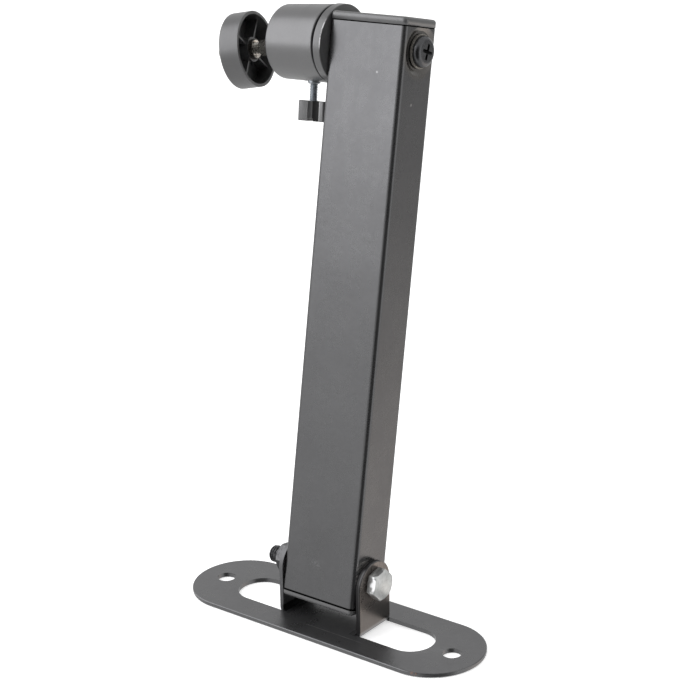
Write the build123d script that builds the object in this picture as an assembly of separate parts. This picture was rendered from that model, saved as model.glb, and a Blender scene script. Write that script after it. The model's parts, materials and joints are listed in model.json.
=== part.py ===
from build123d import *
import math
import os

# Wall mount for a small projector: a lanced sheet-steel wall plate whose two ears carry a
# capped rectangular tube on a hex bolt, and a ball head with a locking disc at the tube's end.
# Frame: +X along the plate, +Z out of the wall, origin at the plate's centre on its back face.

# ---------------------------------------------------------------- driving dimensions (mm)
PLATE_L = 156.6          # wall plate, overall
PLATE_W = 48.0
SHEET_T = 2.1
HOLE_PITCH = 130.0       # wall screw holes
HOLE_R = 4.3
SLOT_L = 108.0           # outline left by the two lanced tongues
SLOT_W = 22.0
EAR_OUT = {1: 23.2, -1: 22.9}     # outer faces of the ears where they leave their bends
EAR_LEAN = {1: 0.9, -1: -0.75}    # and how far each is bent outwards at its top
BEND_R = 1.6             # inner bend radius
HINGE_Z = 23.8           # pivot axis above the wall
EAR_Z = 23.3             # centre of the ears' rounded tops
EAR_HOLE_R = 4.5
BOLT_TILT = 1.3          # the bolt sits crooked in its clearance holes, nut end low, degrees
LEAN = 11.37             # arm leans back from the plate's normal, degrees

TUBE_X = 40.0            # tube section
TUBE_Y = 22.9
TUBE_R = 2.2
WALL = 1.3
TUBE_LO = -11.3          # tube ends, along the arm from the pivot
TUBE_HI = 243.93         # top end, at its front right corner
END_BACK = 2.1           # the top is sawn off square: lower at the back, degrees
END_LEFT = 0.75          # and lower on the left
TUBE_OFF = 1.33          # bolt hole is drilled this far off the section's centre
CAP_TOP = 3.95           # cap flanges
CAP_BOT = 3.1

BOLT_R = 3.97            # M8
TUBE_HOLE_R = 4.62
HEX_AF = 12.7            # across flats, at the foot of the M8 tolerance
HEX_H = 4.7

HEAD_S = 233.0           # ball head's height along the arm
HEAD_OFF = 0.15          # off the tube's centre line
HEAD_SAG = 3.0           # the head droops, degrees
SCREW_S = 233.6          # the screw's head on the other side: it droops in its holes too
SCREW_OFF = 1.2
SCREW_R = 2.95           # M6 pan head
SCREW_HEAD_R = 6.8

FL_A, FL_B = 0.2, 3.9    # base collar's flange, from the tube
FL_SAG = 0.5             # it lies nearly flat against the tube, degrees
FL_R = 17.3
SPIG_R = 13.2
SPIG_END = 12.0
SH_A, SH_B = 5.1, 32.1   # shell of the head
SH_RA, SH_RB = 17.15, 16.45
BALL_W = 21.4            # ball centre along the head's axis
BALL_R = 9.0
LIP = 4.0                # the retaining lip starts this far in front of the ball's centre

THUMB_W = 16.0           # thumb screw along the head's axis
THUMB_R = 1.78           # M4, at its pitch diameter
THUMB_TOP = 10.4
HANDLE_A, HANDLE_B = 25.35, 34.3   # handle, below the head's axis
HANDLE_TURN = -84.0      # how far it is screwed round
HUB_TURN = 45.0          # its square middle stands across the wings, degrees

LEAN_DOWN = 9.2         # ball stud: droop from the head's axis, degrees
LEAN_FRONT = 10.1        # and turn towards the front
STUD_R = 3.175           # 1/4 inch
STUD_IN = 2.95           # its thread inside the disc
DISC_AT = 25.35          # rim plane of the disc from the ball's centre
DISC_R = 16.95
DISC_H = 9.8
DISC_WALL = 1.35
HUB_R = 5.5
BUSH_R = 4.6
RIBS = 4
RIB_TURN = 30.5
PAD_T = 1.5              # rubber washer
STUD_OUT = 7.0           # stud beyond the rubber washer

os.makedirs("parts", exist_ok=True)


def cyl(r, a, b):
    """Solid cylinder about Z from a to b."""
    return Pos(0, 0, (a + b) / 2) * Cylinder(r, b - a)


def ring(r_out, r_in, a, b):
    return cyl(r_out, a, b) - cyl(r_in, a - 1, b + 1)


def hexa(af, a, b, turn=0.0):
    face = RegularPolygon(af / 2 / math.cos(math.pi / 6), 6, major_radius=True)
    return Pos(0, 0, a) * Rot(0, 0, turn) * extrude(face, b - a)


def chamfered_hex(af, a, b, turn=0.0, both=False):
    """Hexagon with the turned 30 degree chamfer on its b end (and on its a end too)."""
    s = hexa(af, a, b, turn)
    rc = af / math.sqrt(3)
    h = (rc - af / 2 * 0.97) * math.tan(math.radians(30))
    keep = Pos(0, 0, b - h / 2) * Cone(rc, rc - h / math.tan(math.radians(30)), h)
    low = b - h
    if both:
        keep += Pos(0, 0, a + h / 2) * Cone(rc - h / math.tan(math.radians(30)), rc, h)
        keep += cyl(rc, a + h, low)
    else:
        keep += cyl(rc, a, low)
    return s & keep


def along_x(shape):
    """Turn a shape built about Z so that its Z runs along +X."""
    return Rot(0, 90, 0) * shape


ARM = Pos(0, 0, HINGE_Z) * Rot(-LEAN, 0, 0)          # arm frame: origin on the pivot axis
TUBE = ARM * Pos(0, TUBE_OFF, 0)                     # same, centred on the tube's section

# head frame: z out along the head, y down the arm, x to the back
sag = math.radians(HEAD_SAG)
HEAD_PLANE = Plane(origin=(-TUBE_X / 2, HEAD_OFF, HEAD_S), x_dir=(0, 1, 0),
                   z_dir=(-math.cos(sag), 0, -math.sin(sag)))
HEAD = TUBE * HEAD_PLANE.location

# stud frame: origin at the ball's centre, z out along the stud
ld, lf = math.radians(LEAN_DOWN), math.radians(LEAN_FRONT)
stud_dir = Vector(-math.sin(lf), math.sin(ld) * math.cos(lf), math.cos(ld) * math.cos(lf))
STUD_PLANE = Plane(origin=(0, 0, BALL_W), x_dir=(math.cos(lf), 0, math.sin(lf) / math.cos(ld)),
                   z_dir=stud_dir)
STUD = HEAD * STUD_PLANE.location

parts = {}

# ---------------------------------------------------------------- wall plate with its ears
plate = extrude(SlotOverall(PLATE_L, PLATE_W), SHEET_T)
plate -= extrude(SlotOverall(SLOT_L, SLOT_W), SHEET_T)
for sx in (-1, 1):
    plate -= Pos(sx * HOLE_PITCH / 2, 0, SHEET_T / 2) * Cylinder(HOLE_R, SHEET_T * 2)
outer = [e for e in plate.edges().filter_by(GeomType.LINE) if abs(abs(e.center().Y) - PLATE_W / 2) < 0.01]
outer += [e for e in plate.edges().filter_by(GeomType.CIRCLE) if abs(e.radius - PLATE_W / 2) < 0.01]
plate = fillet(outer, 0.45)

RO = BEND_R + SHEET_T
top = EAR_Z + SLOT_W / 2


def ear_x(s, z):
    """Distance of the ear's outer face from the plate's middle at height z."""
    return EAR_OUT[s] + EAR_LEAN[s] * (z - RO) / (top - RO)


def u_half(s):
    x_out = EAR_OUT[s]
    x_in = x_out - SHEET_T
    lean = EAR_LEAN[s]
    with BuildSketch(Plane.XZ) as sk:
        with BuildLine():
            Polyline((0, 0), (s * (x_out - RO), 0))
            RadiusArc((s * (x_out - RO), 0), (s * x_out, RO), -s * RO)
            Polyline((s * x_out, RO), (s * (x_out + lean), top), (s * (x_in + lean), top), (s * x_in, RO))
            RadiusArc((s * x_in, RO), (s * (x_out - RO), SHEET_T), s * BEND_R)
            Polyline((s * (x_out - RO), SHEET_T), (0, SHEET_T), (0, 0))
        make_face()
    return extrude(sk.sketch, SLOT_W / 2, both=True)


bracket = u_half(1) + u_half(-1)
profile = Pos(0, 0, 0) * extrude(Plane.YZ * (Pos(0, EAR_Z / 2 - 5) * Rectangle(SLOT_W, EAR_Z + 10)
                                             + Pos(0, EAR_Z) * Circle(SLOT_W / 2)), 60, both=True)
bracket = bracket & profile
drop = 23.0 * math.tan(math.radians(BOLT_TILT))
bracket -= Pos(0, 0, HINGE_Z + drop) * along_x(cyl(EAR_HOLE_R, 5, 40))
bracket -= Pos(0, 0, HINGE_Z - drop) * along_x(cyl(EAR_HOLE_R, -40, -5))


def on_outer_face(e):
    c = e.center()
    return c.Z > 5 and abs(abs(c.X) - ear_x(1 if c.X > 0 else -1, c.Z)) < 0.03


ear_edges = [e for e in bracket.edges() if on_outer_face(e) and (abs(e.center().Y) > 5 or e.center().Z > EAR_Z + 5)]
bracket = fillet(ear_edges, 0.4)
base_plate = plate + bracket
parts["base_plate"] = base_plate

# ---------------------------------------------------------------- pivot hardware
BOLT = Pos(0, 0, HINGE_Z) * Rot(0, -BOLT_TILT, 0)
head_in = ear_x(1, HINGE_Z) + 0.36
bolt = cyl(BOLT_R, -34.7, head_in + 0.2)
bolt = chamfer(bolt.edges().group_by(Axis.Z)[0], 0.8)
bolt += cyl(HEX_AF / 2 * 0.97, head_in, head_in + 0.4)
bolt += chamfered_hex(HEX_AF, head_in + 0.4, head_in + HEX_H, turn=41.7)
parts["pivot_bolt"] = BOLT * along_x(bolt)
W8 = 0.9
wash_in = ear_x(-1, HINGE_Z - drop - 7.2) + 0.02
parts["pivot_washer"] = Pos(0, 0, HINGE_Z - drop) * along_x(ring(7.2, 4.45, -wash_in - W8, -wash_in))
nut_in = wash_in + W8 + 0.2
nut = chamfered_hex(HEX_AF, -nut_in - 4.4, -nut_in, turn=20, both=True) - cyl(BOLT_R + 0.03, -60, 60)
parts["pivot_nut"] = BOLT * along_x(nut)

# ---------------------------------------------------------------- arm tube
# frame of the top end: at the front right corner's height, square to the sawn face
END = Pos(TUBE_X / 2, -TUBE_Y / 2, TUBE_HI) * Rot(-END_BACK, -END_LEFT, 0) * Pos(-TUBE_X / 2, TUBE_Y / 2, 0)
above_end = END * Pos(0, 0, 20) * Box(80, 60, 40)
tube = extrude(RectangleRounded(TUBE_X, TUBE_Y, TUBE_R), TUBE_HI + 6 - TUBE_LO)
tube = Pos(0, 0, TUBE_LO) * tube
DIMPLE_R, DIMPLE_D = 10.7, 0.9
hollow = Pos(0, 0, TUBE_LO - 1) * extrude(
    RectangleRounded(TUBE_X - 2 * WALL, TUBE_Y - 2 * WALL, TUBE_R - WALL), TUBE_HI - TUBE_LO + 12)
# the screw's line through the tube
screw_up = math.degrees(math.atan2(SCREW_S - HEAD_S, TUBE_X))
screw_back = math.degrees(math.atan2(SCREW_OFF - HEAD_OFF, TUBE_X))
SCREW_LINE = Pos(0, (HEAD_OFF + SCREW_OFF) / 2, (HEAD_S + SCREW_S) / 2) * Rot(0, -screw_up, screw_back)
HS = Pos(0, SCREW_OFF, SCREW_S)
# the wall is drawn in by the tightened screw: a shallow round dimple
pressed = HS * along_x(Pos(0, 0, TUBE_X / 2 - WALL - DIMPLE_D / 2) * Cone(8.6, DIMPLE_R, DIMPLE_D))
hollow -= pressed
tube -= hollow
tube -= HS * along_x(Pos(0, 0, TUBE_X / 2 - DIMPLE_D / 2 + 0.01) * Cone(8.6, DIMPLE_R, DIMPLE_D + 0.02))
tube = fillet([e for e in tube.edges().filter_by(GeomType.CIRCLE)
               if abs(e.radius - DIMPLE_R) < 0.2 and e.center().X > TUBE_X / 2 - 0.1], 0.45)
tube -= Pos(0, (HEAD_OFF + SCREW_OFF) / 2, (HEAD_S + SCREW_S) / 2) * along_x(cyl(3.8, -40, 40))
tube -= above_end
tube -= Pos(0, -TUBE_OFF, 0) * along_x(cyl(TUBE_HOLE_R, -40, 40))
parts["arm_tube"] = TUBE * tube


def end_cap(flange, skirt, play):
    """Moulded plug: flange with rounded outer edge and a thin hollow skirt that enters the tube."""
    f = extrude(RectangleRounded(TUBE_X + 0.2, TUBE_Y + 0.2, TUBE_R), flange)
    f = fillet(f.edges().group_by(Axis.Z)[-1], 1.5)
    fit = 2 * WALL + play
    sk = extrude(RectangleRounded(TUBE_X - fit, TUBE_Y - fit, TUBE_R - WALL), -skirt)
    sk -= extrude(RectangleRounded(TUBE_X - fit - 2.4, TUBE_Y - fit - 2.4, 0.6), -skirt - 1)
    return f + sk


GAP = 0.42
cap = end_cap(CAP_TOP - GAP, 6.0, 0.75)
# the seam under the flange is a narrow step
step = extrude(RectangleRounded(TUBE_X - 2.0, TUBE_Y - 2.0, TUBE_R - 1.0), -GAP)
cap = END * Pos(0, 0, GAP) * (cap + step)
# the skirt is cut away where the wall is drawn in around the screw
cap -= HS * along_x(cyl(DIMPLE_R + 0.4, TUBE_X / 2 - 4.5, TUBE_X / 2 - WALL + 0.3)) & Pos(0, 0, TUBE_HI - 20) * Box(60, 60, 40)
parts["top_cap"] = TUBE * cap
cap_b = end_cap(CAP_BOT - 0.6, 6.2, 0.0)
step_b = extrude(RectangleRounded(TUBE_X - 2.2, TUBE_Y - 2.2, TUBE_R - 1.1), -0.6)
parts["bottom_cap"] = TUBE * Pos(0, 0, TUBE_LO - 0.6) * Rot(180, 0, 0) * (cap_b + step_b)

# ---------------------------------------------------------------- screw that carries the head
SEAT = TUBE_X / 2 - DIMPLE_D + 0.36               # just off the dimple's floor
SW = 0.8
NUT_A, NUT_B = 7.3, 11.4                          # nut in the base collar's pocket (head axis)
screw = cyl(SCREW_R, -TUBE_X / 2 - 11.6, SEAT + SW + 0.3)
dome = Pos(0, 0, SEAT + SW) * extrude(Circle(SCREW_HEAD_R), 3.1)
dome = fillet(dome.edges().group_by(Axis.Z)[-1], 2.5)
screw += dome
cross = Pos(0, 0, SEAT + SW + 1.9) * (Box(7.2, 1.5, 3.0) + Box(1.5, 7.2, 3.0))
cross = cross & (Pos(0, 0, SEAT + SW + 1.9) * Cone(1.5, 3.75, 3.0))
screw -= Rot(0, 0, -13) * cross
SCREW_LOC = TUBE * SCREW_LINE
parts["head_screw"] = SCREW_LOC * along_x(screw)
parts["screw_washer"] = SCREW_LOC * along_x(ring(7.4, 3.2, SEAT, SEAT + SW))

# ---------------------------------------------------------------- base collar with its spigot
fl_sag = math.radians(FL_SAG)
FLANGE = TUBE * Plane(origin=(-TUBE_X / 2, HEAD_OFF, HEAD_S), x_dir=(0, 1, 0),
                      z_dir=(-math.cos(fl_sag), 0, -math.sin(fl_sag))).location
collar = cyl(FL_R, FL_A, FL_B)
collar = fillet(collar.edges().group_by(Axis.Z)[0], 0.4)
collar = HEAD.inverse() * FLANGE * collar
collar += cyl(SPIG_R, FL_B - 1.2, SPIG_END)
collar -= ring(SPIG_R + 1, SPIG_R - 1.0, 7.6, 9.9)            # groove for the shell's snap bead
collar -= cyl(3.6, -3, SPIG_END + 1)
collar -= cyl(7.2, 6.0, SPIG_END + 1)                           # pocket for the nut
parts["base_collar"] = HEAD * collar
NUT_LOC = SCREW_LOC
parts["head_nut"] = NUT_LOC * along_x(
    hexa(10.0, -TUBE_X / 2 - 10.9, -TUBE_X / 2 - 6.7, 30) - cyl(SCREW_R + 0.03, -60, 60))

# ---------------------------------------------------------------- shell of the head
outer_shell = Pos(0, 0, (SH_A + SH_B) / 2) * Cone(SH_RA, SH_RB, SH_B - SH_A)
outer_shell = fillet(outer_shell.edges().group_by(Axis.Z)[-1], 1.6)
outer_shell = fillet(outer_shell.edges().group_by(Axis.Z)[0], 0.45)
bore_r = SPIG_R + 0.3
inner = cyl(bore_r, SH_A - 1, SPIG_END + 0.35)
inner += cyl(BALL_R + 0.08, SPIG_END, BALL_W)
inner += (Pos(0, 0, BALL_W) * Sphere(BALL_R + 0.08)) & cyl(20, BALL_W - 10, BALL_W + LIP)
lip_r = math.sqrt((BALL_R + 0.08) ** 2 - LIP ** 2)
fl_h = SH_B - BALL_W - LIP
inner += Pos(0, 0, BALL_W + LIP + fl_h / 2) * Cone(lip_r, lip_r + fl_h * 0.80, fl_h + 0.001)
shell = outer_shell - inner
bead = ring(bore_r + 0.5, SPIG_R - 0.62, 8.15, 9.35)
shell += bead
# radial way for the thumb screw's threaded insert and pressure pad (towards +y: down the arm)
radial = Pos(0, 0, THUMB_W) * Rot(-90, 0, 0)
shell -= radial * cyl(3.0, 5.0, 11.6)
shell -= radial * cyl(3.4, 11.6, 20)
shell -= radial * cyl(4.3, 16.0, 20)                            # sunk place around the insert
parts["ball_shell"] = HEAD * shell
insert = cyl(3.4, 11.6, 15.7) + cyl(2.8, 15.7, 17.9)
insert = chamfer(insert.edges().group_by(Axis.Z)[-1], 0.55)
parts["thumb_insert"] = HEAD * radial * (insert - cyl(THUMB_R + 0.07, 10, 20))

# ---------------------------------------------------------------- pressure pad and thumb screw
ball_cav = Pos(0, 0, BALL_W) * Sphere(BALL_R + 0.12)
pad = (radial * cyl(2.9, 5.2, THUMB_TOP)) - ball_cav
pad_solids = sorted(pad.solids(), key=lambda s: s.volume)
parts["pressure_pad"] = HEAD * pad_solids[-1]
rod = cyl(THUMB_R, THUMB_TOP, HANDLE_A + 6.5)
rod = chamfer(rod.edges().group_by(Axis.Z)[0], 0.4)
parts["thumb_rod"] = HEAD * radial * rod

h = HANDLE_B - HANDLE_A
hub = Pos(0, 0, (HANDLE_A + HANDLE_B - 0.6) / 2) * Box(5.7, 5.7, h - 0.6)
hub = fillet(hub.edges().filter_by(Axis.Z), 0.45)
hub = fillet(hub.edges().group_by(Axis.Z)[-1] + hub.edges().group_by(Axis.Z)[0], 0.3)
hub = Rot(0, 0, HUB_TURN) * hub
wings = None
for s in (-1, 1):
    w = Pos(s * 4.85, 0, (HANDLE_A + HANDLE_B) / 2) * Box(6.5, 3.4, h)
    w = fillet([e for e in w.edges().filter_by(Axis.Z) if abs(e.center().X) > 6], 1.2)
    w = fillet(w.edges().group_by(Axis.Z)[-1] + w.edges().group_by(Axis.Z)[0], 0.35)
    wings = w if wings is None else wings + w
handle = hub + wings
handle -= cyl(THUMB_R, HANDLE_A - 1, HANDLE_A + 6.5)
parts["thumb_handle"] = HEAD * radial * Rot(0, 0, HANDLE_TURN) * handle

# ---------------------------------------------------------------- ball stud
ball = Sphere(BALL_R)
neck = cyl(3.6, 0, DISC_AT - 3.0)
OUT = DISC_AT + DISC_H + PAD_T + STUD_OUT
stud = cyl(STUD_R, OUT - STUD_OUT + 0.6, OUT)
stud = chamfer(stud.edges().group_by(Axis.Z)[-1], 0.6)
ball_stud = ball + neck + cyl(STUD_IN, 0, OUT - STUD_OUT + 0.6) + stud
ball_stud -= Pos(0, 0, -BALL_R) * Box(30, 30, 1.2)               # turned flat at the back
parts["ball_stud"] = STUD * ball_stud

# ---------------------------------------------------------------- locking disc
D0, D1 = DISC_AT, DISC_AT + DISC_H
disc = cyl(DISC_R, D0, D1)
disc = fillet(disc.edges().group_by(Axis.Z)[-1], 0.9)
disc -= cyl(DISC_R - DISC_WALL, D0 - 1, D1 - 2.0)
disc += ring(HUB_R, BUSH_R, D0 + 1.8, D1 - 1.0)
for i in range(RIBS):
    a = RIB_TURN + i * 360 / RIBS
    rib = Rot(0, 0, a) * Pos((HUB_R + DISC_R) / 2 - 0.3, 0, (D0 + 2.8 + D1 - 1) / 2) * Box(
        DISC_R - HUB_R + 0.4 - DISC_WALL + 0.8, 0.9, D1 - 1 - D0 - 2.8)
    disc += rib & cyl(DISC_R - 0.4, D0, D1)
disc -= cyl(BUSH_R, D0 - 1, D1 - 2.0)
disc -= cyl(STUD_R + 0.3, D0, D1 + 1)
parts["locking_disc"] = STUD * disc
bush = cyl(BUSH_R, D0 + 0.1, D1 - 2.0) - cyl(STUD_IN + 0.07, D0, D1)
bush -= Pos(0, 0, D0 + 0.1 + 0.45) * Cone(STUD_IN + 1.02, STUD_IN + 0.12, 0.91)      # countersunk
parts["disc_bush"] = STUD * bush
parts["rubber_washer"] = STUD * ring(13.0, STUD_R + 0.35, D1, D1 + PAD_T)

# ---------------------------------------------------------------- write
for name, shape in parts.items():
    if isinstance(shape, (list, ShapeList)):
        shape = Compound(children=list(shape))
    shape.label = name
    export_step(shape, "parts/%s.step" % name)

print("head origin", HEAD.position, "ball centre", STUD.position)
pl = Plane(STUD)
print("stud dir", pl.z_dir, "stud x", pl.x_dir)
ph = Plane(HEAD)
print("head dir", ph.z_dir, "head y", ph.y_dir, "head x", ph.x_dir)
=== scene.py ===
import json
import math
import bpy
import bmesh
from mathutils import Matrix, Vector


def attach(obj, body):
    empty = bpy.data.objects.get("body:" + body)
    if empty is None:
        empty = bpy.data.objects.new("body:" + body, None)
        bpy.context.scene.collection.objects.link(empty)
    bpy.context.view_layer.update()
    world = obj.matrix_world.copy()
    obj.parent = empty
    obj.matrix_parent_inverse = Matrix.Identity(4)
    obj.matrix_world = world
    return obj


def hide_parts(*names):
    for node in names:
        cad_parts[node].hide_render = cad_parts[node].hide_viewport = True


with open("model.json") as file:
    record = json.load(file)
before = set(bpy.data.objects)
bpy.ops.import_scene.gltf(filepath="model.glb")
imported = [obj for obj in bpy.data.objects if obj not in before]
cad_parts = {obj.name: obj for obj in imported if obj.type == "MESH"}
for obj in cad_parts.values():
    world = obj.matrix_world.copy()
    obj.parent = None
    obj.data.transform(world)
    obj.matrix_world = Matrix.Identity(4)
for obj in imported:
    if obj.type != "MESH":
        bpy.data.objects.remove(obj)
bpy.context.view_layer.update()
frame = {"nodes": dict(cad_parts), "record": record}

N = frame["nodes"]
scene = bpy.context.scene
scene.view_settings.view_transform = "Standard"
scene.view_settings.look = "None"

# ------------------------------------------------------------------ camera
cam_data = bpy.data.cameras.new("camera")
cam = bpy.data.objects.new("camera", cam_data)
scene.collection.objects.link(cam)
scene.camera = cam
cam_data.sensor_width = 36.0
cam_data.lens = 102.83
cam_data.clip_start = 0.01
cam_data.clip_end = 20.0


def camera_axes(az, el, roll):
    a, e, r = (math.radians(v) for v in (az, el, roll))
    back = Vector((math.sin(a) * math.cos(e), -math.cos(a) * math.cos(e), math.sin(e)))
    right = Vector((math.cos(a), math.sin(a), 0))
    up = back.cross(right)
    c, s = math.cos(r), math.sin(r)
    return right * c + up * s, -s * right + c * up, back


R, U, B = camera_axes(38.956, 19.783, -2.2023)
pos = (2.4221 * R + 125.846 * U + 881.11 * B) / 1000
M = Matrix((R, U, B)).transposed().to_4x4()
M.translation = pos
cam.matrix_world = M

# ------------------------------------------------------------------ frames of the object, metres
MM = 0.001
LEAN = math.radians(11.37)
BOLT_TILT = math.radians(1.3)


def frame_of(origin, z, x=None):
    """Matrix of a frame from its origin (mm) and its z and x directions."""
    z = Vector(z).normalized()
    x = Vector(x if x is not None else (0, 0, 1)).normalized()
    x = (x - z * x.dot(z)).normalized()
    y = z.cross(x)
    m = Matrix((x, y, z)).transposed().to_4x4()
    m.translation = Vector(origin) * MM
    return m


BOLT = frame_of((0, 0, 23.8), (math.cos(BOLT_TILT), 0, math.sin(BOLT_TILT)), (0, 1, 0))
HEAD_DIR, HEAD_DOWN, HEAD_BACK = (-0.99863, -0.010318, -0.051309), (0.052336, -0.196874, -0.979031), (0, 0.980375, -0.197144)
HEAD = frame_of((-20, 47.3855, 251.935), HEAD_DIR, HEAD_BACK)
THUMB = frame_of(Vector((-20, 47.3855, 251.935)) + 16.0 * Vector(HEAD_DIR), HEAD_DOWN, HEAD_DIR)
STUD = frame_of((-41.3707, 47.1647, 250.837), (-0.962269, -0.212941, -0.169394), (-0.177337, 0.962961, -0.203122))
ARM = frame_of((0, 0, 23.8), (0, math.sin(LEAN), math.cos(LEAN)), (1, 0, 0))
FLANGE = frame_of((-20, 47.3855, 251.935), (-0.99996, -0.00172, -0.00856), HEAD_BACK)
# the sawn top end of the tube: height above it is z
END = frame_of(ARM @ Vector((20, -10.12, 243.93)), ARM.to_3x3() @ Vector((-0.01309, 0.03664, 0.99924)), (1, 0, 0))
END.translation = (ARM @ (Vector((20, -10.12, 243.93)) * MM))


# ------------------------------------------------------------------ material tools
def material(name):
    m = bpy.data.materials.new(name)
    m.use_nodes = True
    nt = m.node_tree
    nt.nodes.clear()
    out = nt.nodes.new("ShaderNodeOutputMaterial")
    bsdf = nt.nodes.new("ShaderNodeBsdfPrincipled")
    nt.links.new(bsdf.outputs[0], out.inputs[0])
    return m, nt, bsdf


class G:
    """Small helper around one node tree."""

    def __init__(self, nt):
        self.nt = nt
        self.co = nt.nodes.new("ShaderNodeTexCoord").outputs["Object"]

    def link(self, a, b):
        self.nt.links.new(a, b)

    def node(self, kind, **values):
        n = self.nt.nodes.new(kind)
        for k, v in values.items():
            if hasattr(n, k):
                setattr(n, k, v)
            else:
                n.inputs[k].default_value = v
        return n

    def mapped(self, scale=(1, 1, 1), rot=(0, 0, 0), loc=(0, 0, 0)):
        n = self.nt.nodes.new("ShaderNodeMapping")
        n.inputs["Scale"].default_value = scale
        n.inputs["Rotation"].default_value = rot
        n.inputs["Location"].default_value = loc
        self.link(self.co, n.inputs["Vector"])
        return n.outputs[0]

    def axes(self, vec=None):
        n = self.nt.nodes.new("ShaderNodeSeparateXYZ")
        self.link(vec if vec is not None else self.co, n.inputs[0])
        return n.outputs[0], n.outputs[1], n.outputs[2]

    def normal(self):
        n = self.nt.nodes.new("ShaderNodeNewGeometry")
        t = self.nt.nodes.new("ShaderNodeVectorTransform")
        t.vector_type, t.convert_from, t.convert_to = "NORMAL", "WORLD", "OBJECT"
        self.link(n.outputs["Normal"], t.inputs[0])
        return self.axes(t.outputs[0])

    def local(self, matrix):
        """Object coordinates seen in one of the object's own frames, in millimetres."""
        inv = matrix.inverted()
        n = self.nt.nodes.new("ShaderNodeMapping")
        n.vector_type = "POINT"
        loc, rot, _ = inv.decompose()
        n.inputs["Location"].default_value = loc * 1000
        n.inputs["Rotation"].default_value = rot.to_euler("XYZ")
        n.inputs["Scale"].default_value = (1000, 1000, 1000)
        self.link(self.co, n.inputs["Vector"])
        return n.outputs[0]

    def noise(self, scale, detail=4, rough=0.5, vec=None, dist=0.0):
        n = self.node("ShaderNodeTexNoise", Scale=scale, Detail=detail, Roughness=rough, Distortion=dist)
        self.link(vec if vec is not None else self.co, n.inputs["Vector"])
        return n.outputs["Fac"]

    def ramp(self, fac, stops):
        n = self.nt.nodes.new("ShaderNodeValToRGB")
        cr = n.color_ramp
        while len(cr.elements) < len(stops):
            cr.elements.new(0.5)
        for e, (p, c) in zip(cr.elements, stops):
            e.position = p
            e.color = c if len(c) == 4 else (*c, 1)
        self.link(fac, n.inputs[0])
        return n.outputs[0]

    def rng(self, fac, a, b, c, d, smooth=False):
        n = self.nt.nodes.new("ShaderNodeMapRange")
        if smooth:
            n.interpolation_type = "SMOOTHSTEP"
        for i, v in zip((1, 2, 3, 4), (a, b, c, d)):
            n.inputs[i].default_value = v
        self.link(fac, n.inputs[0])
        return n.outputs[0]

    def math(self, op, a, b=None):
        n = self.nt.nodes.new("ShaderNodeMath")
        n.operation = op
        for i, v in enumerate((a, b)):
            if v is None:
                continue
            if isinstance(v, (int, float)):
                n.inputs[i].default_value = v
            else:
                self.link(v, n.inputs[i])
        return n.outputs[0]

    def mul(self, *vs):
        out = vs[0]
        for v in vs[1:]:
            out = self.math("MULTIPLY", out, v)
        return out

    def between(self, v, a, b, soft):
        """1 where v lies between a and b, with soft shoulders."""
        return self.mul(self.rng(v, a - soft, a + soft, 0, 1, True), self.rng(v, b - soft, b + soft, 1, 0, True))

    def spot(self, centre, radius, soft=0.35, squash=(1, 1, 1)):
        """1 inside a small ball around a place in object coordinates (metres)."""
        n = self.nt.nodes.new("ShaderNodeVectorMath")
        n.operation = "SUBTRACT"
        self.link(self.co, n.inputs[0])
        n.inputs[1].default_value = centre
        s = self.nt.nodes.new("ShaderNodeVectorMath")
        s.operation = "MULTIPLY"
        self.link(n.outputs[0], s.inputs[0])
        s.inputs[1].default_value = squash
        ln = self.nt.nodes.new("ShaderNodeVectorMath")
        ln.operation = "LENGTH"
        self.link(s.outputs[0], ln.inputs[0])
        return self.rng(ln.outputs["Value"], radius * (1 - soft), radius * (1 + soft), 1, 0, True)

    def mix(self, fac, a, b):
        n = self.nt.nodes.new("ShaderNodeMix")
        n.data_type = "RGBA"
        for s, v in ((0, fac), (6, a), (7, b)):
            if isinstance(v, (int, float)):
                n.inputs[s].default_value = v
            elif isinstance(v, tuple):
                n.inputs[s].default_value = (*v, 1) if len(v) == 3 else v
            else:
                self.link(v, n.inputs[s])
        return n.outputs[2]

    def mixf(self, fac, a, b):
        n = self.nt.nodes.new("ShaderNodeMix")
        n.data_type = "FLOAT"
        for s, v in ((0, fac), (2, a), (3, b)):
            if isinstance(v, (int, float)):
                n.inputs[s].default_value = v
            else:
                self.link(v, n.inputs[s])
        return n.outputs[0]

    def bump(self, height, strength=0.3, distance=0.0003, prev=None):
        n = self.nt.nodes.new("ShaderNodeBump")
        n.inputs["Strength"].default_value = strength
        n.inputs["Distance"].default_value = distance
        self.link(height, n.inputs["Height"])
        if prev is not None:
            self.link(prev, n.inputs["Normal"])
        return n.outputs[0]


def enamel(name, lo, hi, rough=(0.24, 0.31), tint=(1, 1, 1.02), metallic=0.88):
    """Thin dark electro-dipped coat over sheet steel: it mirrors like dull dark metal."""
    m, nt, b = material(name)
    g = G(nt)
    b.inputs["Metallic"].default_value = metallic
    big = g.noise(34, 5, 0.55)
    fine = g.noise(420, 4, 0.6)
    grit = g.noise(1500, 3, 0.55)
    c0, c1 = (tuple(v * t for t in tint) for v in (lo, hi))
    col = g.ramp(g.mixf(0.35, big, fine), [(0.34, c0), (0.66, c1)])
    r = g.rng(g.noise(95, 5, 0.6), 0.3, 0.7, *rough)
    bump = g.bump(grit, 0.10, 0.0001)
    bump = g.bump(g.noise(330, 3, 0.5), 0.10, 0.0003, bump)
    bump = g.bump(g.noise(28, 2, 0.4), 0.05, 0.002, bump)
    g.link(bump, b.inputs["Normal"])
    return m, nt, b, g, col, r


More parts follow.
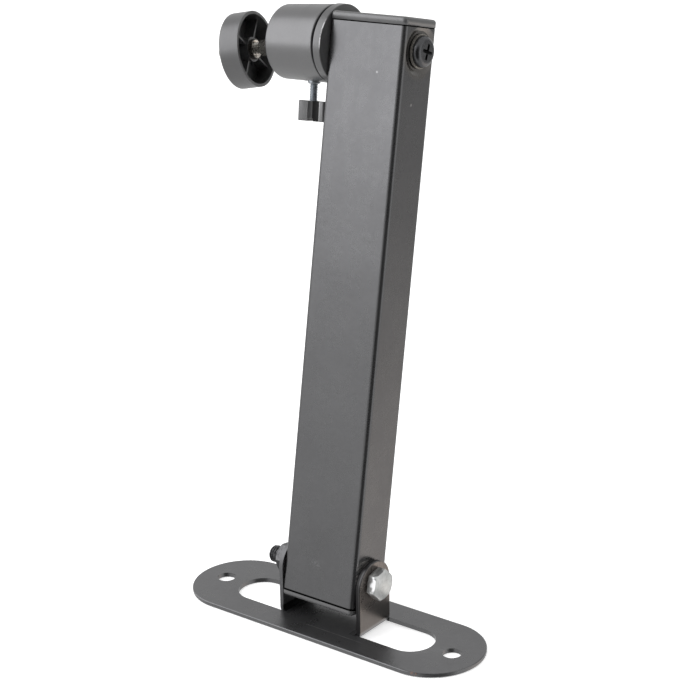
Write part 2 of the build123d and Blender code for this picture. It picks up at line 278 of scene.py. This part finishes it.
def moulded(name, lo, hi, rough=(0.34, 0.42), grain=1700, spec=1.0, tint=(1, 1, 1.02), ior=1.5):
    """Black moulded nylon: fine spark texture, soft sheen, faint flow marks."""
    m, nt, b = material(name)
    g = G(nt)
    big = g.noise(60, 4, 0.55)
    c0, c1 = (tuple(v * t for t in tint) for v in (lo, hi))
    col = g.ramp(g.mixf(0.4, big, g.noise(800, 3)), [(0.32, c0), (0.7, c1)])
    r = g.rng(g.noise(210, 4, 0.6), 0.3, 0.7, *rough)
    bump = g.bump(g.noise(grain, 3, 0.6), 0.10, 0.0001)
    bump = g.bump(g.noise(300, 2, 0.5), 0.06, 0.0003, bump)
    g.link(bump, b.inputs["Normal"])
    b.inputs["Specular IOR Level"].default_value = spec
    b.inputs["IOR"].default_value = ior
    return m, nt, b, g, col, r


def metal(name, lo, hi, rough=(0.25, 0.4), stretch=(1, 1, 1), grain=500, bump=0.08, metallic=1.0):
    """Plated or turned metal with fine uneven gloss."""
    m, nt, b = material(name)
    g = G(nt)
    b.inputs["Metallic"].default_value = metallic
    v = g.mapped(scale=stretch)
    col = g.ramp(g.mixf(0.5, g.noise(grain * 0.25, 4, 0.6, v), g.noise(grain, 4, 0.6, v)), [(0.35, lo), (0.65, hi)])
    r = g.rng(g.noise(grain, 4, 0.6, v), 0.3, 0.7, *rough)
    g.link(g.bump(g.noise(grain * 1.3, 4, 0.65, v), bump, 0.0002), b.inputs["Normal"])
    return m, nt, b, g, col, r


def done(parts, col=None, rough=None):
    m, nt, b, g, c, r = parts
    g.link(col if col is not None else c, b.inputs["Base Color"])
    g.link(rough if rough is not None else r, b.inputs["Roughness"])
    return m


# ------------------------------------------------------------------ the finishes
# arm tube: coat, a few bare specks and light rubs
p = enamel("tube_coat", 0.102, 0.117)
g, col, rough = p[3], p[4], p[5]
x, y, z = g.axes()
col = g.mix(g.spot((0.0200, 0.0406, 0.2308), 0.00055), col, (0.27, 0.265, 0.26))
col = g.mix(g.mul(g.spot((0.0073, 0.0342, 0.2450), 0.00045), 0.7), col, (0.3, 0.3, 0.3))
rub = g.mul(g.spot((-0.0020, -0.0091, 0.0300), 0.0030, 0.6, (1, 1, 1.6)), g.rng(g.noise(1300, 3, 0.7), 0.52, 0.58, 0, 0.6))
col = g.mix(rub, col, (0.17, 0.17, 0.175))
# a small darker patch on the front face
dark_patch = g.spot((0.01105, 0.0230, 0.18965), 0.0016, 0.6, (1.6, 1, 0.8))
col = g.mix(g.mul(dark_patch, 0.35), col, (0.08, 0.08, 0.08))
streaks = g.noise(260, 5, 0.65, g.mapped(scale=(1, 1, 0.12), rot=(math.radians(11.4), 0, 0)))
rough = g.mixf(0.25, rough, g.rng(streaks, 0.35, 0.65, 0.22, 0.36))
scuffs = g.rng(g.noise(650, 5, 0.7, g.mapped(scale=(1, 1, 0.25))), 0.68, 0.74, 0, 0.35)
col = g.mix(scuffs, col, (0.19, 0.19, 0.195))
# the drawn-in round around the head screw is rubbed and brownish
round_in = g.spot((0.0200, 0.0477, 0.2519), 0.0112, 0.12)
col = g.mix(g.mul(round_in, 0.35), col, (0.15, 0.135, 0.115))
# behind the ear the coat carries short slanting drag marks, and there it is painted far lighter as painted light over
# the shade the ear casts on the tube
drag_marks_and_painted_light = g.mul(g.spot((0.0200, -0.0030, 0.0288), 0.0066, 0.22), g.rng(x, 0.0195, 0.0199, 0, 1))
hatch = g.noise(900, 4, 0.7, g.mapped(scale=(1, 0.25, 1), rot=(math.radians(-48), 0, 0)))
col = g.mix(g.mul(drag_marks_and_painted_light, g.rng(hatch, 0.44, 0.58, 0.05, 0.7)), col, (0.40, 0.385, 0.37))
# the sawn ends are in the shade of the caps
ex, ey, ez = g.axes(g.local(END))
col = g.mix(g.rng(ez, -0.10, -0.02, 0, 1), col, (0.004, 0.004, 0.004))
tx, ty, tz = g.axes(g.local(ARM))
col = g.mix(g.rng(tz, -11.12, -11.02, 1, 0), col, (0.006, 0.006, 0.006))
tube_coat = done(p, col, rough)
g.link(g.rng(drag_marks_and_painted_light, 0, 1, 0.88, 0.5), p[2].inputs["Metallic"])

# wall plate: the same coat, but the edge faces of the right ear are made near black and rougher
p = enamel("plate_coat", 0.122, 0.144, rough=(0.25, 0.34), metallic=0.8)
g, col, rough = p[3], p[4], p[5]
x, y, z = g.axes()
nx, ny, nz = g.normal()
ax = g.math("ABSOLUTE", x)
up = g.rng(z, 0.0030, 0.0042, 0, 1, True)
side = g.rng(g.math("ABSOLUTE", ny), 0.72, 0.9, 0, 1, True)
over = g.rng(g.mul(up, g.math("ADD", g.math("ABSOLUTE", ny), g.math("ABSOLUTE", nz))), 0.6, 0.85, 0, 1, True)
band = g.between(ax, 0.0176, 0.02275, 0.00015)
edge = g.mul(g.math("MAXIMUM", side, over), band)
edge = g.mul(edge, g.rng(g.math("ABSOLUTE", y), 0.0120, 0.0125, 1, 0))
right_hand = g.rng(x, -0.001, 0.001, 0, 1)
col = g.mix(g.mul(edge, right_hand, 0.93), col, (0.012, 0.012, 0.013))
left_ear = g.mul(g.rng(x, -0.019, -0.0205, 0, 1), g.rng(z, 0.0045, 0.006, 0, 1))
col = g.mix(g.mul(left_ear, g.rng(g.noise(600, 4, 0.6, g.mapped(scale=(1, 1, 0.15))), 0.3, 0.7, 0.7, 1.0)), col, (0.135, 0.135, 0.138))
rough = g.mixf(edge, rough, 0.5)
# rubbed outer face of the ear under the bolt's head, with a few dark dragged marks
worn = g.mul(up, g.rng(nx, 0.7, 0.9, 0, 1), g.rng(x, 0.021, 0.0225, 0, 1))
drag = g.noise(1100, 5, 0.7, g.mapped(scale=(1, 1.0, 0.2), rot=(math.radians(-42), 0, 0)))
col = g.mix(g.mul(worn, 0.75), col, g.mix(g.rng(z, 0.010, 0.020, 0, 1, True), (0.088, 0.079, 0.072), (0.165, 0.142, 0.126)))
high = g.rng(z, 0.024, 0.031, 0, 1, True)
col = g.mix(g.mul(worn, g.rng(drag, 0.50, 0.60, 0, 0.9), g.math("ADD", g.mul(high, 0.55), 0.10)), col, (0.030, 0.028, 0.027))
# painted shade: the rounded rim of the right ear's outer face is darkened to damp its bright reflection
ear_rim_painted_shade = g.mul(up, g.rng(x, 0.021, 0.0225, 0, 1), g.rng(nx, 0.93, 0.70, 0, 1, True), g.rng(ny, -0.15, -0.45, 0, 1, True))
col = g.mix(g.mul(ear_rim_painted_shade, 0.8), col, (0.022, 0.021, 0.021))
# soft rubs on the plate and the bare nick on its front edge
rubs = g.noise(120, 5, 0.7, g.mapped(scale=(0.22, 1, 1)))
col = g.mix(g.rng(rubs, 0.60, 0.72, 0, 0.22), col, (0.2, 0.2, 0.205))
# painted highlight: a thin bright line along the front rail stands for the glint on a faint crease
rail_painted_highlight = g.mul(g.between(y, -0.01525, -0.01495, 0.00012), g.between(x, -0.004, 0.025, 0.004), g.rng(nz, 0.8, 0.95, 0, 1))
col = g.mix(g.mul(rail_painted_highlight, g.rng(g.noise(500, 3), 0.3, 0.6, 0.2, 0.75)), col, (0.5, 0.5, 0.5))
# painted shade: the inner bends of the ears below the tube are near black and rough
bend_painted_shade = g.mul(g.between(ax, 0.0172, 0.0212, 0.0004), g.rng(z, 0.0020, 0.0022, 0, 1), g.rng(z, 0.0046, 0.0056, 1, 0),
                   g.rng(g.math("ABSOLUTE", y), 0.0115, 0.0121, 1, 0))
col = g.mix(bend_painted_shade, col, (0.006, 0.006, 0.006))
rough = g.mixf(bend_painted_shade, rough, 0.7)
nick = g.mul(g.spot((0.0616, -0.0238, 0.0018), 0.0012, 0.4, (0.6, 1, 1)), g.rng(g.noise(1100, 4, 0.7), 0.45, 0.55, 0, 1))
col = g.mix(nick, col, (0.36, 0.20, 0.15))
plate_coat = done(p, col, rough)

p = moulded("cap_plastic", 0.050, 0.062, rough=(0.34, 0.42), grain=1500, ior=1.55)
g, col = p[3], p[4]
col = g.mix(g.mul(g.spot((-0.0005, 0.0372, 0.2668), 0.0012, 0.4), 0.8), col, (0.012, 0.012, 0.012))
lines = g.noise(420, 4, 0.6, g.mapped(scale=(0.1, 1, 1)))
col = g.mix(g.rng(lines, 0.62, 0.72, 0, 0.3), col, (0.11, 0.11, 0.112))
# painted shade: inside the seam gaps at the two ends of the tube the cap is near black and nearly without gloss
ex, ey, ez = g.axes(g.local(END))
seam_painted_shade = g.mul(g.rng(ez, -0.5, -0.2, 0, 1), g.rng(ez, 0.44, 0.50, 1, 0))
col = g.mix(seam_painted_shade, col, (0.002, 0.002, 0.002))
tx, ty, tz = g.axes(g.local(ARM))
low_seam_painted_shade = g.mul(g.rng(tz, -11.97, -11.90, 0, 1), g.rng(tz, 0, 10, 1, 0))
col = g.mix(low_seam_painted_shade, col, (0.002, 0.002, 0.002))
cap_plastic = done(p, col)
g.link(g.rng(g.math("MAXIMUM", seam_painted_shade, low_seam_painted_shade), 0, 1, 1.0, 0.05), p[2].inputs["Specular IOR Level"])

p = moulded("head_plastic", 0.050, 0.062, rough=(0.28, 0.36), grain=2000, ior=1.60)
g = p[3]
hx, hy, hz = g.axes(g.local(HEAD))
turned = g.noise(3.2, 4, 0.7, g.mapped(scale=(420, 12, 12)))
tx, ty, tz = g.axes(g.local(THUMB))
# painted shade: in the recess around the thumb screw the shell is near black and almost without gloss
recess_painted_shade = g.mul(g.rng(g.math("SQRT", g.math("ADD", g.mul(tx, tx), g.mul(ty, ty))), 4.36, 4.5, 1, 0), g.rng(tz, 15.0, 15.5, 0, 1))
head_plastic = done(p, g.mix(g.mul(recess_painted_shade, 0.95), p[4], (0.003, 0.003, 0.003)),
                    g.mixf(0.4, p[5], g.rng(turned, 0.35, 0.65, 0.26, 0.44)))
g.link(g.rng(recess_painted_shade, 0, 1, 1.0, 0.1), p[2].inputs["Specular IOR Level"])

p = moulded("disc_plastic", 0.038, 0.050, rough=(0.30, 0.38), grain=2000, ior=1.54)
g = p[3]
dx, dy, dz = g.axes(g.local(STUD))
drad = g.math("SQRT", g.math("ADD", g.mul(dx, dx), g.mul(dy, dy)))
turned = g.noise(2.6, 4, 0.7, g.mapped(scale=(420, 12, 12)))
# painted shade: the inside of the disc's cup is darkened a little
cup_painted_shade = g.mul(g.rng(drad, 15.45, 15.7, 1, 0, True), g.rng(dz, 25.45, 25.7, 0, 1))
disc_plastic = done(p, g.mix(g.mul(cup_painted_shade, 0.25), p[4], (0.010, 0.010, 0.011)), g.mixf(0.4, p[5], g.rng(turned, 0.35, 0.65, 0.28, 0.46)))

# the collar's rim is scraped; along its back edge a painted highlight, broken up by noise, stands for the glint where
# the edge turns the light
p = moulded("collar_plastic", 0.052, 0.066, rough=(0.28, 0.40), grain=1600)
g, col = p[3], p[4]
hx, hy, hz = g.axes(g.local(FLANGE))
rad = g.math("SQRT", g.math("ADD", g.mul(hx, hx), g.mul(hy, hy)))
highlight_breakup = g.noise(900, 4, 0.7, g.mapped(scale=(1, 1, 0.5)))
# painted highlight: the back edge is made near white
back_edge_painted_highlight = g.mul(g.rng(rad, 16.95, 17.12, 0, 1, True), g.rng(hz, 0.50, 0.68, 1, 0, True), g.between(hy, -9.5, 1.5, 2.0),
                g.rng(hx, -6, -9, 0, 1, True), g.rng(highlight_breakup, 0.38, 0.55, 0.15, 0.8))
scrape = g.noise(9, 5, 0.7, g.mapped(scale=(160, 30, 30)))
col = g.mix(g.rng(scrape, 0.60, 0.68, 0, 0.35), col, (0.16, 0.16, 0.16))
col = g.mix(back_edge_painted_highlight, col, (0.80, 0.80, 0.81))
shade = g.mul(g.rng(hy, 15.0, 16.3, 0, 1, True), g.rng(hz, 3.0, 2.0, 0, 1))
col = g.mix(g.mul(shade, 0.9), col, (0.006, 0.006, 0.006))
collar_plastic = done(p, col)
g.link(g.rng(shade, 0, 1, 1.0, 0.15), p[2].inputs["Specular IOR Level"])

p = moulded("knob_plastic", 0.036, 0.048, rough=(0.28, 0.38), grain=2000)
g, col = p[3], p[4]
tx, ty, tz = g.axes(g.local(THUMB))
# painted shade: the front of the web beside the hub is near black and nearly without gloss
web_painted_shade = g.mul(g.between(tx, -5.0, -1.5, 0.15), g.rng(ty, -1.2, -1.4, 0, 1))
# painted highlight: a light line along the wing's edge next to the web
edge_painted_highlight = g.mul(g.between(tx, -5.45, -5.1, 0.08), g.rng(ty, -1.2, -1.4, 0, 1))
ribs = g.rng(g.noise(2.2, 3, 0.6, g.mapped(scale=(900, 900, 60))), 0.56, 0.66, 0, 0.35)
col = g.mix(ribs, col, (0.13, 0.13, 0.13))
col = g.mix(g.mul(web_painted_shade, 0.95), col, (0.006, 0.006, 0.006))
knob_plastic = done(p, g.mix(g.mul(edge_painted_highlight, 0.6), col, (0.4, 0.4, 0.4)))
g.link(g.rng(web_painted_shade, 0, 1, 1.0, 0.1), p[2].inputs["Specular IOR Level"])
rubber = done(moulded("rubber", 0.014, 0.022, rough=(0.65, 0.8), grain=2600, spec=0.3))

# zinc of the bolt head with fine scratches; its flats are coloured by the way they face: the front flat gets a white,
# non-metallic painted highlight on its outer part and is grey next to the ear, and the top and bottom flats get painted
# shade
p = metal("zinc_plate", (0.50, 0.51, 0.50), (0.66, 0.67, 0.66), rough=(0.28, 0.42), grain=700, bump=0.14, metallic=0.55)
g, col = p[3], p[4]
nx, ny, nz = g.normal()
bx, by, bz = g.axes(g.local(BOLT))
front_flat_painted_highlight = g.mul(g.rng(ny, -0.80, -0.88, 0, 1), g.rng(nz, 0.1, 0.2, 0, 1))
upper_flat_painted_shade = g.rng(nz, 0.80, 0.9, 0, 1)
lower_flat_painted_shade = g.rng(nz, -0.4, -0.55, 0, 1)
scr = g.noise(1500, 3, 0.6, g.mapped(scale=(1, 1, 0.12), rot=(math.radians(35), 0, 0)))
col = g.mix(g.rng(scr, 0.60, 0.68, 0, 0.55), col, (0.80, 0.80, 0.79))
scr2 = g.noise(1300, 3, 0.6, g.mapped(scale=(1, 0.12, 1), rot=(math.radians(20), 0, 0)))
col = g.mix(g.rng(scr2, 0.61, 0.70, 0, 0.45), col, (0.24, 0.24, 0.24))
col = g.mix(g.mul(g.math("MAXIMUM", upper_flat_painted_shade, lower_flat_painted_shade), 0.75), col, (0.16, 0.16, 0.158))
col = g.mix(front_flat_painted_highlight, col, g.mix(g.rng(bz, 25.6, 25.9, 0, 1), (0.16, 0.16, 0.158), (1.0, 1.0, 1.0)))
zinc = done(p, col)
g.link(g.rng(g.mul(front_flat_painted_highlight, g.rng(bz, 25.6, 25.9, 0, 1)), 0, 1, 0.55, 0.0), p[2].inputs["Metallic"])
nut_metal = done(metal("nut_oxide", (0.05, 0.05, 0.051), (0.15, 0.15, 0.152), rough=(0.34, 0.5), grain=900, bump=0.35))
washer_metal = done(metal("washer_oxide", (0.085, 0.08, 0.072), (0.14, 0.132, 0.12), rough=(0.3, 0.4), grain=700, bump=0.1))
bolt_thread = done(metal("bolt_thread", (0.05, 0.05, 0.052), (0.22, 0.22, 0.225), rough=(0.26, 0.4), grain=900, bump=0.15, metallic=0.8))
screw_ring = done(metal("screw_ring", (0.20, 0.19, 0.17), (0.34, 0.32, 0.29), rough=(0.34, 0.5), grain=700, bump=0.12, metallic=0.7))
thread_metal = done(metal("rod_thread", (0.26, 0.285, 0.31), (0.42, 0.45, 0.48), rough=(0.28, 0.42), grain=900, bump=0.15, metallic=0.75))
screw_metal = done(metal("screw_oxide", (0.075, 0.076, 0.079), (0.105, 0.106, 0.11), rough=(0.24, 0.34), grain=800, bump=0.12))
insert_metal = done(metal("insert_metal", (0.20, 0.215, 0.23), (0.34, 0.36, 0.38), rough=(0.3, 0.42), grain=900, metallic=0.75))
# bush: bright turned rim, darkened inside it and outside it
p = metal("nickel", (0.56, 0.52, 0.46), (0.78, 0.74, 0.68), rough=(0.18, 0.32), grain=500, bump=0.08, metallic=0.7)
g, col = p[3], p[4]
sx, sy, sz = g.axes(g.local(STUD))
srad = g.math("SQRT", g.math("ADD", g.mul(sx, sx), g.mul(sy, sy)))
inside = g.rng(srad, 3.10, 3.2, 1, 0, True)
outer = g.rng(srad, 3.95, 4.1, 0, 1, True)
col = g.mix(g.math("MAXIMUM", g.mul(inside, 0.6), g.mul(outer, 0.96)), col, (0.035, 0.031, 0.027))
bright = done(p, col)
stud_metal = done(metal("stud_metal", (0.24, 0.23, 0.21), (0.38, 0.365, 0.335), rough=(0.22, 0.34), grain=500, bump=0.05, metallic=0.8))
brass = done(metal("brass", (0.55, 0.4, 0.18), (0.7, 0.52, 0.26), grain=500))

FINISH = {"base_plate": plate_coat, "arm_tube": tube_coat, "top_cap": cap_plastic, "bottom_cap": cap_plastic,
          "pivot_bolt": zinc, "pivot_nut": nut_metal, "pivot_washer": washer_metal, "head_screw": screw_metal,
          "screw_washer": screw_ring, "base_collar": collar_plastic, "head_nut": zinc, "ball_shell": head_plastic,
          "thumb_insert": insert_metal, "thumb_rod": thread_metal, "thumb_handle": knob_plastic,
          "pressure_pad": brass, "ball_stud": stud_metal, "locking_disc": disc_plastic, "disc_bush": bright,
          "rubber_washer": rubber}
for node, m in FINISH.items():
    o = N[node]
    o.data.materials.clear()
    o.data.materials.append(m)


# ------------------------------------------------------------------ screw threads
def lathe_rows(bm, rows, closed_start=True, closed_end=True):
    """Skin a list of rings of vertices; cap the ends."""
    n = len(rows[0])
    for a, b in zip(rows, rows[1:]):
        for i in range(n):
            j = (i + 1) % n
            bm.faces.new((a[i], a[j], b[j], b[i]))
    if closed_start:
        bm.faces.new(list(reversed(rows[0])))
    if closed_end:
        bm.faces.new(rows[-1])


def shaft(bm, r, pitch, a, b, depth, zone, free=("a", "b"), n=56, per=9, lead=0.7):
    """A round shaft along z from a to b (mm). Inside the zone it carries a rolled thread whose helix is real
    geometry; r is a radius or a function of z; the free ends are pointed by the lead."""
    radius = r if callable(r) else (lambda _z: r)
    zs = [a]
    z0, z1 = zone
    steps = max(2, round((z1 - z0) / pitch * per))
    zs += [z0 + (z1 - z0) * k / steps for k in range(steps + 1)]
    zs.append(b)
    zs = sorted({round(v, 4) for v in zs})
    rows = []
    for z in zs:
        ring = []
        for i in range(n):
            ph = ((z / pitch) - i / n) % 1.0
            tri = abs(ph * 2 - 1)
            cut = min(1.0, max(0.0, (tri - 0.14) / 0.70))
            fade = 1.0
            if z0 > a + 0.01:
                fade = min(fade, max(0.0, (z - z0) / (pitch * 0.8)))
            if z1 < b - 0.01:
                fade = min(fade, max(0.0, (z1 - z) / (pitch * 0.8)))
            rr = radius(z) - depth * cut * fade
            if "a" in free and z - a < lead:
                rr = min(rr, radius(z) - (lead - (z - a)) * 0.85)
            if "b" in free and b - z < lead:
                rr = min(rr, radius(z) - (lead - (b - z)) * 0.85)
            t = 2 * math.pi * i / n
            ring.append(bm.verts.new((rr * math.cos(t) * MM, rr * math.sin(t) * MM, z * MM)))
        rows.append(ring)
    lathe_rows(bm, rows)


def cut_from(bm, node, matrix, keep):
    """Bring in the CAD node's surface in its own frame, keep only the faces asked for and close it again."""
    part = bmesh.new()
    part.from_mesh(N[node].data)
    part.transform(matrix.inverted())
    bmesh.ops.remove_doubles(part, verts=part.verts, dist=2e-7)
    gone = [f for f in part.faces if not keep(f.calc_center_median() * 1000)]
    bmesh.ops.delete(part, geom=gone, context="FACES")
    loose = [v for v in part.verts if not v.link_faces]
    bmesh.ops.delete(part, geom=loose, context="VERTS")
    bmesh.ops.holes_fill(part, edges=[e for e in part.edges if e.is_boundary], sides=0)
    me = bpy.data.meshes.new("tmp")
    part.to_mesh(me)
    part.free()
    bm.from_mesh(me)
    bpy.data.meshes.remove(me)


BODY = {n: b for b, ns in frame["record"]["behaviour"]["bodies"].items() for n in ns}


def new_piece(name, bm, matrix, mats, node, smooth=35, pick=None):
    """Finish a mesh built in a frame of the object and let it stand for a CAD node."""
    bmesh.ops.recalc_face_normals(bm, faces=bm.faces)
    if pick:
        for f in bm.faces:
            f.material_index = pick(f.calc_center_median() * 1000)
    me = bpy.data.meshes.new(name)
    bm.to_mesh(me)
    bm.free()
    me.transform(matrix)
    for f in me.polygons:
        f.use_smooth = True
    me.set_sharp_from_angle(angle=math.radians(smooth))
    for m in mats:
        me.materials.append(m)
    o = bpy.data.objects.new(name, me)
    scene.collection.objects.link(o)
    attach(o, BODY[node])
    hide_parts(node)
    return o


# top cap: as in the CAD, its seam a little shallower so that it closes at the outline
bm = bmesh.new()
bm.from_mesh(N["top_cap"].data)
inv = END.inverted()
for v in bm.verts:
    c = inv @ v.co * 1000 + Vector((20, -11.45, 0))
    if -0.02 < c.z < 0.44 and (18.5 < abs(c.x) < 19.04 or 9.95 < abs(c.y) < 10.49) and abs(c.x) < 19.04 and abs(c.y) < 10.49:
        c.x *= 19.62 / 19.0
        c.y *= 11.07 / 10.45
        v.co = END @ ((c - Vector((20, -11.45, 0))) / 1000)
bmesh.ops.remove_doubles(bm, verts=bm.verts, dist=2e-7)
new_piece("top_cap_seamed", bm, Matrix.Identity(4), [cap_plastic], "top_cap", smooth=30)

# thumb screw's handle: as in the CAD, the middle block a little shorter below
bm = bmesh.new()
bm.from_mesh(N["thumb_handle"].data)
inv = THUMB.inverted()
for v in bm.verts:
    c = inv @ v.co * 1000
    if 33.35 < c.z < 33.75:
        c.z -= 0.75
        v.co = THUMB @ (c / 1000)
bmesh.ops.remove_doubles(bm, verts=bm.verts, dist=2e-7)
new_piece("handle_moulded", bm, Matrix.Identity(4), [knob_plastic], "thumb_handle", smooth=30)

# pivot bolt: hex head as in the CAD, threaded shank
bm = bmesh.new()
cut_from(bm, "pivot_bolt", BOLT, lambda c: c.z > 24.145)
shaft(bm, 3.97, 1.25, -34.7, 24.6, 0.74, (-34.7, -17.0), free=("a",), lead=0.9)
new_piece("bolt_threaded", bm, BOLT, [zinc, bolt_thread], "pivot_bolt",
          pick=lambda c: 1 if c.z < 24.1 else 0)

# thumb screw's rod
bm = bmesh.new()
shaft(bm, 1.83, 0.7, 10.4, 31.85, 0.34, (10.4, 27.5), free=("a",), n=40, per=8, lead=0.4)
new_piece("rod_threaded", bm, THUMB, [thread_metal], "thumb_rod")

# ball stud: ball and neck as in the CAD, threaded end
bm = bmesh.new()
cut_from(bm, "ball_stud", STUD, lambda c: c.z < 22.345)
shaft(bm, lambda v: 2.97 if v < 35.8 else (3.175 if v > 36.8 else 2.97 + 0.205 * (v - 35.8)), 1.27, 21.0, 43.65, 0.70,
      (22.6, 43.65), free=("b",), n=48, per=9, lead=0.8)
new_piece("stud_threaded", bm, STUD, [stud_metal], "ball_stud")

# ------------------------------------------------------------------ floor, light
bpy.ops.mesh.primitive_plane_add(size=8, location=(0, 0, -0.0002))
floor = bpy.context.object
floor.name = "floor"
fm, fnt, fb = material("floor")
fb.inputs["Base Color"].default_value = (0.93, 0.93, 0.93, 1)
fb.inputs["Emission Color"].default_value = (1, 1, 1, 1)
fb.inputs["Emission Strength"].default_value = 0.5
fb.inputs["Roughness"].default_value = 0.9
fb.inputs["Specular IOR Level"].default_value = 0.1
floor.data.materials.append(fm)
floor.visible_glossy = False

# a white cove all round, dimmer where the photographer stands
w = bpy.data.worlds.new("world")
scene.world = w
w.use_nodes = True
wt = w.node_tree
wt.nodes.clear()
wout = wt.nodes.new("ShaderNodeOutputWorld")
wbg = wt.nodes.new("ShaderNodeBackground")
wt.links.new(wbg.outputs[0], wout.inputs[0])
gw = G(wt)
wco = wt.nodes.new("ShaderNodeTexCoord").outputs["Generated"]


def lobe(direction, inner, outer, flatten=1.0):
    """1 towards a direction, falling to 0 between the two angles (degrees)."""
    d = Vector(direction).normalized()
    s = wt.nodes.new("ShaderNodeVectorMath")
    s.operation = "MULTIPLY"
    wt.links.new(wco, s.inputs[0])
    s.inputs[1].default_value = (1, 1, flatten)
    nrm = wt.nodes.new("ShaderNodeVectorMath")
    nrm.operation = "NORMALIZE"
    wt.links.new(s.outputs[0], nrm.inputs[0])
    dd = Vector((d.x, d.y, d.z * flatten)).normalized()
    dot = wt.nodes.new("ShaderNodeVectorMath")
    dot.operation = "DOT_PRODUCT"
    wt.links.new(nrm.outputs[0], dot.inputs[0])
    dot.inputs[1].default_value = dd
    return gw.rng(dot.outputs["Value"], math.cos(math.radians(outer)), math.cos(math.radians(inner)), 0, 1, True)


AMBIENT = 0.88
dark = lobe((0.72, -0.69, -0.05), 28, 46, 0.8)
fill = lobe((0.93, 0.20, -0.12), 12, 34)
low_right = lobe((0.50, 0.62, -0.60), 8, 26)
low_front = lobe((-0.60, -0.80, 0.06), 6, 15)
right_back = lobe((0.62, 0.76, -0.10), 14, 34)
val = gw.math("MULTIPLY", gw.math("SUBTRACT", 1.0, gw.mul(dark, 0.93)), AMBIENT)
val = gw.math("ADD", val, gw.mul(fill, 0.40))
val = gw.math("ADD", val, gw.mul(low_right, 0.95))
val = gw.math("ADD", val, gw.mul(low_front, 0.55))
val = gw.math("SUBTRACT", val, gw.mul(right_back, 0.38))
lp = wt.nodes.new("ShaderNodeLightPath")
val = gw.mixf(lp.outputs["Is Camera Ray"], val, 1.0)
tint = gw.mix(low_right, (1.0, 1.0, 1.0), (1.0, 0.93, 0.88))
wt.links.new(tint, wbg.inputs[0])
wt.links.new(val, wbg.inputs[1])


def area(name, loc, target, size, power, color=(1, 1, 1)):
    d = bpy.data.lights.new(name, "AREA")
    d.shape = "RECTANGLE"
    d.size, d.size_y = size
    d.energy = power
    d.color = color
    o = bpy.data.objects.new(name, d)
    scene.collection.objects.link(o)
    o.location = loc
    o.rotation_euler = (Vector(target) - Vector(loc)).to_track_quat("-Z", "Y").to_euler()
    return o


# large soft box at the front left, its lower edge just above the table
area("key", (-0.80, -0.74, 0.82), (0, 0, 0.20), (1.5, 1.3), 12.6, (0.965, 0.965, 1.0))
